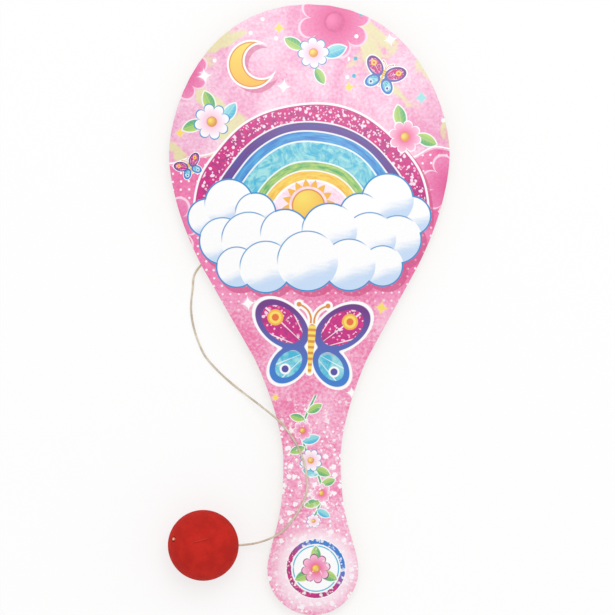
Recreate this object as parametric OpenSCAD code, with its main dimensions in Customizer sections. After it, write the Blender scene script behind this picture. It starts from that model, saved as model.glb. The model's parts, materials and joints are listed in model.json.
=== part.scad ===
// Paddle ball game: a small plywood bat with a printed face, and a rubber ball on an elastic.
// The bat lies face up on a table at z = 0, its head towards +Y. The ball lies left of the handle.

/* [Bat outline] */
// Length of the bat, from the end of the handle to the top of the head
bat_l = 220; // [180:1:260]
// Width of the head at its widest
head_w = 101; // [88:1:120]
// Distance from the top of the head down to its widest line
crown_h = 54; // [44:1:64]
// Width of the handle at its narrowest
neck_w = 20.6; // [16:0.2:26]
// Distance from the end of the handle up to its narrowest line
neck_h = 55.8; // [50:0.2:64]
// Diameter of the round end of the handle
end_d = 32.8; // [28:0.2:40]

/* [Sheets] */
// Thickness of each outer ply
ply_t = 1.5; // [1:0.1:2.5]
// Thickness of the core ply
core_t = 1.6; // [1:0.1:3]
// Thickness of the printed paper with its film
print_t = 0.15; // [0.1:0.05:0.4]

/* [Staple] */
// Distance from the top of the head down to the staple
staple_h = 55.4; // [45:0.2:65]
// Width of the staple over its legs
staple_w = 9; // [7:0.5:12]
// Diameter of the staple's wire
wire_d = 0.65; // [0.5:0.05:0.9]
// How deep the legs are driven into the plies
leg_l = 3.6; // [2:0.1:3.8]

/* [Elastic] */
// Diameter of the rubber elastic
elastic_d = 0.8; // [0.6:0.05:1.2]
// Thickness that the staple pinches the elastic to
pinch_t = 0.4; // [0.3:0.05:0.6]
// Length of the elastic's tail beyond the staple
tail_l = 5; // [3:0.5:9]
// Diameter of the knot that holds the ball, drawn tight
knot_d = 1.7; // [1.6:0.1:3]
// Length of the cut end beyond the knot
stub_l = 1.2; // [0.6:0.1:2]

/* [Ball] */
// Diameter of the ball
ball_d = 25.4; // [22:0.2:28]
// Distance from the bat's middle line to the centre of the ball
ball_off = 39.2; // [36:0.1:46]
// Distance from the end of the handle up to the centre of the ball
ball_h = 25.9; // [20:0.1:30]
// Tilt of the bore below level, towards the handle
bore_tilt = 32; // [20:1:40]
// Turn of the bore seen from above, towards the end of the handle
bore_turn = 8; // [0:1:20]
// Distance that the bore misses the ball's centre by, towards the bat's head
bore_off = 1.2; // [0:0.1:2]
// Clearance round the elastic in the bore
bore_gap = 0.06; // [0.02:0.01:0.1]
// Depth of the recess that takes the knot
recess_h = 3; // [2.5:0.1:4]
// Clearance round the knot and under it
knot_gap = 0.2; // [0.1:0.05:0.5]

/* [Hidden] */
$fn = 64;

// Gap above and below the elastic where it lies under the bat, and how far cuts overrun
lay_gap = 0.1;
overrun = 0.5;
// Clearance round the staple's legs in the plies
leg_gap = 0.02;
// Bare gap between the ball's surface and the plane where the free elastic starts
mouth_gap = 0.3;

// Outline of the bat: lines across it, and where the straight side of the head starts and ends
widest_y = bat_l / 2 - crown_h;
neck_y = neck_h - bat_l / 2;
end_y = end_d / 2 - bat_l / 2;
drop = widest_y - neck_y;
spread = (head_w - neck_w) / 2;
side_top_share = [0.66, 0.4];
side_low_share = [0.26, 0.66];
side_top = [neck_w / 2 + spread * side_top_share.x, widest_y - drop * side_top_share.y];
side_low = [neck_w / 2 + spread * side_low_share.x, widest_y - drop * side_low_share.y];
side = side_low - side_top;
// Where the flare of the handle runs into its round end, as an angle above level
end_turn = 11;
end_start = [0, end_y] + end_d / 2 * [cos(end_turn), sin(end_turn)];
end_dir = [sin(end_turn), -cos(end_turn)];
// Lengths of the curves' handles, as shares of what they span
crown_share = [0.76, 0.3];
cheek_share = [0.086, 0.62];
throat_share = [0.093, 0.134];
flare_share = [0.59, 0.3];
curve_steps = 14;

// Heights of the sheets
bat_lift = max(elastic_d, pinch_t + wire_d) + lay_gap;
core_z = bat_lift + ply_t;
front_z = core_z + core_t;
print_z = front_z + ply_t;
bat_top = print_z + print_t;

// The ball, and the way the elastic leaves it
ball_r = ball_d / 2;
ball_c = [-ball_off, ball_h - bat_l / 2, ball_r];
bore_c = ball_c + [0, bore_off, 0];
bore_dir = [cos(bore_tilt) * cos(bore_turn), -cos(bore_tilt) * sin(bore_turn), -sin(bore_tilt)];
recess_z = ball_r - recess_h;
knot_z = recess_z + knot_gap;
ring_r = elastic_d / 2;
knot_l = 1.8 * elastic_d;
mouth_z = ball_r + mouth_gap;

// Route of the free elastic: x, y, and its climb from lying on the table, 0, to lying on the print, 1
low_z = (elastic_d + lay_gap) / 2;
route_points = [
    [-12, 43, 0], [-22, 33.3, 0], [-32, 23.7, 0], [-38, 17.9, 0],
    [-40.8, 14.9, 0], [-42.2, 12, 0], [-42.5, 8.5, 0], [-43, 4.5, 0], [-43.2, 0.5, 0],
    [-42.8, -3.5, 0], [-41.9, -7.5, 0], [-40.4, -12, 0], [-38.4, -16.2, 0], [-35.2, -20.2, 0],
    [-31.4, -24, 0], [-27.4, -27.5, 0.05], [-23.4, -30.6, 0.25], [-19.6, -33.5, 0.62],
    [-15.8, -36.5, 0.94], [-12.2, -39.5, 1.05], [-9.2, -42.7, 1], [-6.8, -46.2, 1],
    [-4.8, -49.8, 1], [-3.2, -53.7, 1], [-2.2, -57.7, 1], [-1.7, -61.8, 1], [-2, -65.5, 1],
    [-3.3, -69.4, 1], [-5.5, -73.3, 1], [-8.2, -76.8, 1], [-11, -79.7, 1.02],
    [-14, -81.6, 1.02], [-17, -82.9, 0.86], [-19.6, -83.75, 0.66], [-21.9, -84.25, 0.54],
    [-24.1, -84.5, 0.53]];

// The staple, its crown square to the elastic under it
staple_c = [0, bat_l / 2 - staple_h, 0];
elastic_turn = atan2(route_points[0].y - staple_c.y, route_points[0].x - staple_c.x);
pinch_w = PI / 4 * elastic_d * elastic_d / pinch_t;
pinch_l = 3 * wire_d;
taper_l = 1.2 * elastic_d;
anchor_l = pinch_l / 2 + 2 * taper_l;

// The whole route, straight out of the anchor and straight into the bore
climb = bat_top;
route_start = staple_c + anchor_l * [cos(elastic_turn), sin(elastic_turn), 0] + [0, 0, low_z];
route = concat([route_start],
    [for (p = route_points) [p.x, p.y, low_z + climb * p.z]],
    [for (i = [2:-1:0]) bore_c + (mouth_z + i * elastic_d) * bore_dir]);
ring_step = 2.6 * elastic_d;
tube_sides = 8;

function unit(v) = v / norm(v);
function bezier(a, b, c, d, t) =
    a * (1 - t) ^ 3 + 3 * b * t * (1 - t) ^ 2 + 3 * c * t ^ 2 * (1 - t) + d * t ^ 3;
function curve(a, b, c, d) = [for (i = [0:curve_steps - 1]) bezier(a, b, c, d, i / curve_steps)];

// Right half of the outline, from the top of the head down to the end of the handle
half_outline = concat(
    curve([0, bat_l / 2], [head_w / 2 * crown_share.x, bat_l / 2],
        [head_w / 2, widest_y + crown_h * crown_share.y], [head_w / 2, widest_y]),
    curve([head_w / 2, widest_y], [head_w / 2, widest_y - drop * cheek_share.x],
        side_top - side * cheek_share.y, side_top),
    curve(side_low, side_low + side * throat_share.x,
        [neck_w / 2, neck_y + drop * throat_share.y], [neck_w / 2, neck_y]),
    curve([neck_w / 2, neck_y], [neck_w / 2, neck_y - (neck_y - end_start.y) * flare_share.x],
        end_start - end_dir * (neck_y - end_start.y) * flare_share.y, end_start),
    [for (i = [0:curve_steps]) let (a = end_turn - (90 + end_turn) * i / curve_steps)
        [0, end_y] + end_d / 2 * [cos(a), sin(a)]]);
last_point = len(half_outline) - 1;

// Tangent at point i of a route, and the smooth line through its points
function tangent(p, i) = unit(p[min(i + 1, len(p) - 1)] - p[max(i - 1, 0)]);
function stretch(p, i) = let (l = norm(p[i + 1] - p[i]), n = max(1, round(l / ring_step)))
    [for (k = [0:n - 1]) bezier(p[i], p[i] + tangent(p, i) * l / 3,
        p[i + 1] - tangent(p, i + 1) * l / 3, p[i + 1], k / n)];
function smooth_line(p) = concat([for (i = [0:len(p) - 2]) each stretch(p, i)], [p[len(p) - 1]]);
function ring(c, t, r) = let (s = unit(cross(t, [0, 0, 1])), u = cross(s, t))
    [for (k = [0:tube_sides - 1]) let (a = 360 * (k + 0.5) / tube_sides)
        c + r * (cos(a) * s + sin(a) * u)];

module tube(line, r) {
    rings = len(line);
    points = [for (i = [0:rings - 1]) each ring(line[i], tangent(line, i), r)];
    walls = [for (i = [0:rings - 2], k = [0:tube_sides - 1])
        let (a = i * tube_sides, j = (k + 1) % tube_sides)
        each [[a + k, a + tube_sides + k, a + j], [a + j, a + tube_sides + k, a + tube_sides + j]]];
    ends = [[for (k = [0:tube_sides - 1]) k],
        [for (k = [tube_sides - 1:-1:0]) (rings - 1) * tube_sides + k]];
    polyhedron(points, concat(walls, ends));
}

module bat_shape() {
    polygon(concat(half_outline, [for (i = [last_point - 1:-1:1]) [-half_outline[i].x, half_outline[i].y]]));
}

// Puts the staple's own frame at the staple: its x runs along the elastic, its crown lies along y
module at_staple(z) {
    translate([staple_c.x, staple_c.y, z]) rotate(elastic_turn) children();
}

module leg_holes() {
    at_staple(bat_lift)
        for (s = [-1, 1]) translate([0, s * (staple_w - wire_d) / 2, -overrun])
            cylinder(d = wire_d + 2 * leg_gap, h = leg_l + overrun + lay_gap);
}

module sheet(z, t) {
    translate([0, 0, z]) linear_extrude(t) bat_shape();
}

// Puts z along the bore of the ball, pointing to the mouth that the free elastic leaves
module at_bore() {
    translate(bore_c) rotate([0, 90 + bore_tilt, -bore_turn]) children();
}

module back_ply() {
    color("burlywood") difference() { sheet(bat_lift, ply_t); leg_holes(); }
}

module core_ply() {
    color("tan") difference() { sheet(core_z, core_t); leg_holes(); }
}

module front_ply() {
    color("burlywood") difference() { sheet(front_z, ply_t); leg_holes(); }
}

module print_sheet() {
    color("hotpink") sheet(print_z, print_t);
}

module staple() {
    crown_l = staple_w - 3 * wire_d;
    crown_z = bat_lift - pinch_t - wire_d / 2;
    color("silver") at_staple(crown_z) {
        rotate([90, 0, 0]) cylinder(d = wire_d, h = crown_l, center = true);
        for (s = [-1, 1]) {
            translate([0, s * crown_l / 2, wire_d]) rotate([0, 90, 0]) rotate(s > 0 ? 0 : -90)
                rotate_extrude(angle = 90) translate([wire_d, 0]) circle(d = wire_d);
            translate([0, s * (staple_w - wire_d) / 2, wire_d])
                cylinder(d = wire_d, h = leg_l + bat_lift - crown_z - 2 * wire_d);
            translate([0, s * (staple_w - wire_d) / 2, leg_l + bat_lift - crown_z - wire_d])
                cylinder(d1 = wire_d, d2 = wire_d / 4, h = wire_d);
        }
    }
}

// The end of the elastic under the staple: pinched flat below the crown, round on both sides
module elastic_anchor() {
    slice = elastic_d / 20;
    color("tan") at_staple(low_z) {
        pad_z = bat_lift - low_z - pinch_t;
        translate([-pinch_l / 2, -pinch_w / 2, pad_z]) cube([pinch_l, pinch_w, pinch_t]);
        for (s = [-1, 1]) hull() {
            translate([s * (pinch_l - slice) / 2 - slice / 2, -pinch_w / 2, pad_z])
                cube([slice, pinch_w, pinch_t]);
            translate([s * (pinch_l / 2 + taper_l), 0, 0]) rotate([0, 90, 0])
                cylinder(d = elastic_d, h = slice, center = true, $fn = 24);
        }
        translate([pinch_l / 2 + taper_l, 0, 0]) rotate([0, 90, 0])
            cylinder(d = elastic_d, h = taper_l);
        translate([-pinch_l / 2 - taper_l, 0, 0]) rotate([0, -90, 0])
            cylinder(d = elastic_d, h = tail_l);
    }
}

// The free stretch, from the staple under the head, round over the handle and to the ball
module elastic_cord() {
    color("wheat") tube(smooth_line(route), elastic_d / 2);
}

// The stretch inside the ball, from its mouth to the knot
module elastic_core() {
    color("wheat") at_bore() translate([0, 0, -knot_z])
        cylinder(d = elastic_d, h = knot_z + mouth_z);
}

module ball_knot() {
    color("wheat") at_bore() rotate([180, 0, 0]) translate([0, 0, knot_z]) {
        cylinder(d = elastic_d, h = knot_l + stub_l);
        rotate_extrude() hull() {
            square([knot_d / 2 - ring_r, knot_l]);
            for (i = [0:1]) translate([knot_d / 2 - ring_r, ring_r + i * (knot_l - 2 * ring_r)])
                circle(r = ring_r);
        }
    }
}

// The sphere is turned so that the seam from pole to pole lies clear of the bore
module ball() {
    color("firebrick") difference() {
        translate(ball_c) rotate(90) sphere(d = ball_d);
        at_bore() cylinder(d = elastic_d + 2 * bore_gap, h = ball_d + overrun, center = true);
        at_bore() rotate([180, 0, 0]) translate([0, 0, recess_z])
            cylinder(d = knot_d + 2 * knot_gap, h = recess_h + overrun);
    }
}

back_ply();
core_ply();
front_ply();
print_sheet();
staple();
elastic_anchor();
elastic_cord();
elastic_core();
ball_knot();
ball();
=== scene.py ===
import json
import math

import bmesh
import bpy
from mathutils import Matrix, Vector


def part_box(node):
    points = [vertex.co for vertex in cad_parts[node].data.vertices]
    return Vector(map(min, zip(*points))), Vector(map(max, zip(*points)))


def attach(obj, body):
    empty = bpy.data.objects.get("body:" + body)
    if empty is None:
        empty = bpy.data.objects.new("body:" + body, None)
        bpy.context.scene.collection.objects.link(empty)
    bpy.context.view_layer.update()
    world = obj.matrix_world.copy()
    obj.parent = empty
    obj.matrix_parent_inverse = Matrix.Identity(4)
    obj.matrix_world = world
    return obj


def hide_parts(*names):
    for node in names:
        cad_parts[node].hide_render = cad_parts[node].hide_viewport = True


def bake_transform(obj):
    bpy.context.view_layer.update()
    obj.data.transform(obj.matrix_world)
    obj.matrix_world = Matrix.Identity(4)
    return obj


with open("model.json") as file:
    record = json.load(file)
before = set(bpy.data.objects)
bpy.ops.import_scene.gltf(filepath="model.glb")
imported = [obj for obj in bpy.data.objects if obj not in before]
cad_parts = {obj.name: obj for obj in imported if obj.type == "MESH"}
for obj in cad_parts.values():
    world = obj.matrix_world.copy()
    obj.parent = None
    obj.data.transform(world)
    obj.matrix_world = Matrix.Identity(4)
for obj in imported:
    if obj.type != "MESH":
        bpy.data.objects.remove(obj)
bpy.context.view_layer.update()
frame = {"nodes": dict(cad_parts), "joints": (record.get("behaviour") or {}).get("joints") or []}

mm = 0.001
hair = 0.001 * mm  # points nearer than this are one
joints = {j["name"]: j for j in frame["joints"]}
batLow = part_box("back_ply")[0].z  # underside of the bat
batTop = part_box("print_sheet")[1].z  # printed face
ballCentre = (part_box("ball")[0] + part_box("ball")[1]) / 2
ballRadius = (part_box("ball")[1].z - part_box("ball")[0].z) / 2
boreCentre = Vector(joints["ball_spin"]["pos_m"])  # the bore misses the ball's centre by a little
boreAxis = -Vector(joints["ball_spin"]["axis"]).normalized()  # out of the mouth that the free stretch leaves

# The photograph's frame: where the bat's middle is in it, its scale and how far the bat leans
photo = {
    "pixels": 615,
    "mmPerPixel": 0.36,
    "middlePixel": (310.65, 309.75),
    "lean": 0.0085,
    "distance": 1.5,
    "sensor": 36,
    "clip": (0.05, 50),
}


def placeCamera():
    scale = photo["mmPerPixel"] * mm
    right = photo["pixels"] / 2 - photo["middlePixel"][0]
    up = photo["middlePixel"][1] - photo["pixels"] / 2
    spot = Vector((right + photo["lean"] * up, up - photo["lean"] * right, 0)) * scale
    data = bpy.data.cameras.new("camera")
    data.sensor_width = photo["sensor"]
    data.lens = photo["sensor"] * photo["distance"] / (photo["pixels"] * scale)
    data.clip_start, data.clip_end = photo["clip"]
    camera = bpy.data.objects.new("camera", data)
    bpy.context.scene.collection.objects.link(camera)
    lift = Vector((0, 0, batTop + photo["distance"]))
    camera.matrix_world = Matrix.Translation(spot + lift) @ Matrix.Rotation(-math.atan(photo["lean"]), 4, "Z")
    bpy.context.scene.camera = camera


placeCamera()
print("stage: camera placed")

elasticSet = {
    "diameter": 0.8,
    "layGap": 0.1,  # spare height where it lies under the bat
    "anchorLength": 2.895,  # from the staple to where the free stretch starts
    "mouthGap": 0.3,  # from the ball's surface to where it ends
    "ringStep": 0.7,
    "threadWidth": 0.69,  # it is cut square from sheet rubber
    "cornerShare": 0.3,  # of its width, for the round of each corner
    "cornerPoints": 3,
    "twistLength": 52,  # for one turn of the thread
    "wobble": (0.6, 9),  # how far the twist strays, and how fast
    "start": (0, 54.6),  # the staple
}
# x and y in mm, and the climb from lying on the table, 0, to lying on the print, 1
elasticPoints = [
    (-12, 43, 0), (-22, 33.3, 0), (-32, 23.7, 0), (-38, 17.9, 0),
    (-40.8, 14.9, 0), (-42.2, 12, 0), (-42.5, 8.5, 0), (-43, 4.5, 0), (-43.2, 0.5, 0),
    (-42.8, -3.5, 0), (-41.9, -7.5, 0), (-40.4, -12, 0), (-38.4, -16.2, 0), (-35.2, -20.2, 0),
    (-31.4, -24, 0), (-27.4, -27.5, 0.05), (-23.4, -30.6, 0.25), (-19.6, -33.5, 0.62),
    (-15.8, -36.5, 0.94), (-12.2, -39.5, 1.05), (-9.2, -42.7, 1), (-6.8, -46.2, 1),
    (-4.8, -49.8, 1), (-3.2, -53.7, 1), (-2.2, -57.7, 1), (-1.7, -61.8, 1), (-2, -65.5, 1),
    (-3.3, -69.4, 1), (-5.5, -73.3, 1), (-8.2, -76.8, 1), (-11, -79.7, 1.02),
    (-14, -81.6, 1.02), (-17, -82.9, 0.86), (-19.6, -83.75, 0.66), (-21.9, -84.25, 0.54),
    (-24.1, -84.5, 0.53),
]
lowHeight = (elasticSet["diameter"] + elasticSet["layGap"]) / 2 * mm


def onTable(point):
    return Vector((point[0] * mm, point[1] * mm, 0))


stapleCentre = onTable(elasticSet["start"])
elasticAim = (onTable(elasticPoints[0]) - stapleCentre).normalized()  # from the staple along the elastic
elasticExit = stapleCentre + elasticAim * elasticSet["anchorLength"] * mm + Vector((0, 0, lowHeight))


def elasticRoute():
    route = [elasticExit]
    route += [Vector((x * mm, y * mm, lowHeight + climb * batTop)) for x, y, climb in elasticPoints]
    for i in (2, 1, 0):
        out = ballRadius + (elasticSet["mouthGap"] + i * elasticSet["diameter"]) * mm
        route.append(boreCentre + boreAxis * out)
    return route


def smoothPath(points, step):
    # a smooth line through the points, with a new point about every step
    def tangent(i):
        return (points[min(i + 1, len(points) - 1)] - points[max(i - 1, 0)]).normalized()

    line = []
    for i in range(len(points) - 1):
        a, d = points[i], points[i + 1]
        span = (d - a).length
        b, c = a + tangent(i) * span / 3, d - tangent(i + 1) * span / 3
        count = max(1, round(span / step))
        for k in range(count):
            t = k / count
            line.append(a * (1 - t) ** 3 + b * 3 * t * (1 - t) ** 2 + c * 3 * t * t * (1 - t) + d * t**3)
    return line + [points[-1]]


def pathLength(line):
    return sum((b - a).length for a, b in zip(line, line[1:]))


def settleOrder(parts, spot):
    # the operators leave points and faces in another order each run, so they are sorted by place
    ranked = sorted(parts, key=lambda part: tuple(spot(part)))
    rank = {part: i for i, part in enumerate(ranked)}
    parts.sort(key=rank.get)


def finishMesh(name, bm, material=None, smooth=True, sharpAngle=40):
    # turns a bmesh into an object at the origin, its faces outwards
    bmesh.ops.recalc_face_normals(bm, faces=bm.faces)
    mesh = bpy.data.meshes.new(name)
    for face in bm.faces:
        face.smooth = smooth
    for edge in bm.edges:
        if len(edge.link_faces) == 2:
            edge.smooth = edge.calc_face_angle() < math.radians(sharpAngle)
    settleOrder(bm.verts, lambda vert: vert.co)
    settleOrder(bm.faces, lambda face: face.calc_center_median())
    bm.to_mesh(mesh)
    bm.free()
    piece = bpy.data.objects.new(name, mesh)
    bpy.context.scene.collection.objects.link(piece)
    if material:
        mesh.materials.append(material)
    return piece


def threadSection():
    # a square with round corners, as points round the origin
    width = elasticSet["threadWidth"] * mm
    radius = width * elasticSet["cornerShare"]
    inner = width / 2 - radius
    count = elasticSet["cornerPoints"]
    points = []
    for k in range(4):
        middle = Vector((inner if k in (0, 3) else -inner, inner if k in (0, 1) else -inner))
        for i in range(count):
            angle = math.radians(90) * (k + i / (count - 1))
            points.append(middle + Vector((math.cos(angle), math.sin(angle))) * radius)
    return points


def roundSection(width, count):
    angles = [2 * math.pi * i / count for i in range(count)]
    return [Vector((math.cos(angle), math.sin(angle))) * width / 2 for angle in angles]


def pairsRound(ring):
    return zip(ring, ring[1:] + ring[:1])


def sweep(bm, line, section, side=None, twist=lambda share: 0, shape=lambda share: (1, 1)):
    # extrudes the section's ring along the line and hands back the last ring's sideways direction
    ahead = (line[1] - line[0]).normalized()
    side = side or ahead.cross(Vector((0, 0, 1))).normalized()

    def place(i, side, corner):
        rise = side.cross(ahead)
        share = i / (len(line) - 1)
        wide, high = shape(share)
        spun = Matrix.Rotation(twist(share), 2) @ corner
        return line[i] + side * spun.x * wide + rise * spun.y * high

    ring = [bm.verts.new(place(0, side, corner)) for corner in section]
    edges = [bm.edges.new((a, b)) for a, b in pairsRound(ring)]
    bm.faces.new(ring)
    for i in range(1, len(line)):
        ahead = (line[min(i + 1, len(line) - 1)] - line[i - 1]).normalized()
        side = (side - ahead * side.dot(ahead)).normalized()
        made = bmesh.ops.extrude_edge_only(bm, edges=edges)["geom"]
        fresh = {g for g in made if isinstance(g, bmesh.types.BMVert)}
        ring = [next(o for o in (e.other_vert(v) for e in v.link_edges) if o in fresh) for v in ring]
        for vert, corner in zip(ring, section):
            vert.co = place(i, side, corner)
        edges = [bm.edges.get((a, b)) for a, b in pairsRound(ring)]
    bm.faces.new(ring)
    return side


def makeElastic():
    line = smoothPath(elasticRoute(), elasticSet["ringStep"] * mm)
    length = pathLength(line)
    turns = length / (elasticSet["twistLength"] * mm)
    far, fast = elasticSet["wobble"]

    def twist(share):
        return 2 * math.pi * turns * share + far * math.sin(fast * share)

    bm = bmesh.new()
    side = sweep(bm, line, threadSection(), twist=twist)
    print(f"stage: elastic, {length * 1000:.1f} mm free")
    return finishMesh("elasticThread", bm), line, length, side, twist(1)


elastic, elasticLine, elasticLength, mouthSide, mouthTwist = makeElastic()


def easedStep(value, low, high):
    share = min(1, max(0, (value - low) / (high - low)))
    return share * share * (3 - 2 * share)


# The end under the staple: pinched flat below the crown, with a cut tail
anchorSet = {
    "pinchWidth": 1.26,
    "pinchHeight": 0.4,
    "pinchLength": 1.95,
    "flatShare": 0.7,  # of that length, which is at its thinnest
    "taper": 0.96,
    "tail": 5.0,
    "tailBend": 0.5,
    "bendFrom": 1.5,
    "steps": 60,
}


def makeAnchor():
    values = anchorSet
    back = values["pinchLength"] / 2 + values["taper"] + values["tail"]
    front = elasticSet["anchorLength"]
    sideways = elasticAim.cross(Vector((0, 0, 1)))
    rise = batLow - values["pinchHeight"] / 2 * mm - lowHeight

    def pinched(along):
        # 1 under the crown, 0 beyond the tapers
        half = values["pinchLength"] / 2
        return 1 - easedStep(abs(along), half * values["flatShare"], half + values["taper"])

    def spot(i):
        along = -back + (back + front) * i / values["steps"]
        bend = values["tailBend"] * easedStep(-along, values["bendFrom"], back)
        flat = stapleCentre + elasticAim * along * mm + sideways * bend * mm
        return flat + Vector((0, 0, lowHeight + rise * pinched(along)))

    def shape(share):
        press = pinched(-back + (back + front) * share)
        wide = 1 + press * (values["pinchWidth"] / elasticSet["threadWidth"] - 1)
        high = 1 + press * (values["pinchHeight"] / elasticSet["threadWidth"] - 1)
        return wide, high

    bm = bmesh.new()
    sweep(bm, [spot(i) for i in range(values["steps"] + 1)], threadSection(), shape=shape)
    return finishMesh("elasticTail", bm)


knotSet = {
    "floor": 9.9,  # from the middle of the bore to the foot of the recess
    "overlap": 0.4,  # how far the core reaches into the knot
    "coreSteps": 30,
    "lift": 0.38,  # of the first turn above the foot
    "turns": 1.6,
    "radius": 0.47,
    "open": 0.12,  # shares of the winding at which it is wide, and starts to close
    "close": 0.84,
    "rise": 0.42,  # for each turn
    "end": 12.55,
    "lean": 0.1,
    "flare": 1.4,  # the cut end swells
    "turnSteps": 44,
    "stubSteps": 12,
}
knotTip = boreCentre - boreAxis * knotSet["end"] * mm


def makeCore():
    # from the mouth of the bore straight through the ball to the knot
    mouth = boreCentre + boreAxis * (ballRadius + elasticSet["mouthGap"] * mm)
    end = boreCentre - boreAxis * (knotSet["floor"] + knotSet["overlap"]) * mm
    line = [mouth.lerp(end, i / knotSet["coreSteps"]) for i in range(knotSet["coreSteps"] + 1)]
    turns = pathLength(line) / (elasticSet["twistLength"] * mm)

    def twist(share):
        return mouthTwist + 2 * math.pi * turns * share

    bm = bmesh.new()
    sweep(bm, line, threadSection(), side=mouthSide, twist=twist)
    return finishMesh("elasticCore", bm)


def makeKnot():
    # the end winds round itself at the foot of the recess, and its cut stub stands up to the ball's surface
    values = knotSet
    out = -boreAxis
    across = out.cross(Vector((0, 0, 1))).normalized()
    upward = out.cross(across)
    count, stub = values["turnSteps"], values["stubSteps"]

    def spot(i):
        share = i / count
        angle = 2 * math.pi * values["turns"] * share
        wide = easedStep(share, 0, values["open"]) - easedStep(share, values["close"], 1)
        wide *= values["radius"]
        depth = values["floor"] + values["lift"] + values["turns"] * values["rise"] * share
        offset = across * math.cos(angle) * wide + upward * math.sin(angle) * wide
        return boreCentre + (out * depth + offset) * mm

    line = [spot(i) for i in range(count + 1)]
    tip = knotTip + across * values["lean"] * mm
    line += [line[-1].lerp(tip, i / stub) for i in range(1, stub + 1)]

    def shape(share):
        wide = 1 + (values["flare"] - 1) * easedStep(share * (count + stub), count + 2, count + stub - 3)
        return wide, wide

    bm = bmesh.new()
    sweep(bm, line, threadSection(), shape=shape)
    return finishMesh("elasticKnot", bm)


anchor = makeAnchor()
core = makeCore()
knot = makeKnot()
print("stage: elastic's tail, core and knot")


def rgb(r, g, b):
    # a screen colour, 0 to 255, as Blender's linear colour
    def linear(c):
        return c / 12.92 if c <= 0.04045 else ((c + 0.055) / 1.055) ** 2.4

    return (linear(r / 255), linear(g / 255), linear(b / 255), 1)


class Wire:
    # an output socket that adds, subtracts, multiplies and divides as a number does
    def __init__(self, shade, socket):
        self.shade, self.socket = shade, socket

    def do(self, operation, *others):
        return self.shade.math(operation, self, *others)

    def __add__(self, other):
        return self.do("ADD", other)

    def __sub__(self, other):
        return self.do("SUBTRACT", other)

    def __rsub__(self, other):
        return self.shade.math("SUBTRACT", other, self)

    def __mul__(self, other):
        return self.do("MULTIPLY", other)

    def __truediv__(self, other):
        return self.do("DIVIDE", other)

    def __abs__(self):
        return self.do("ABSOLUTE")

    __radd__ = __add__
    __rmul__ = __mul__


softEdge = 0.09  # how softly a printed shape ends, in millimetres
crispEdge = 0.02  # the same for a motif that is drawn 1 long


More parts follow.
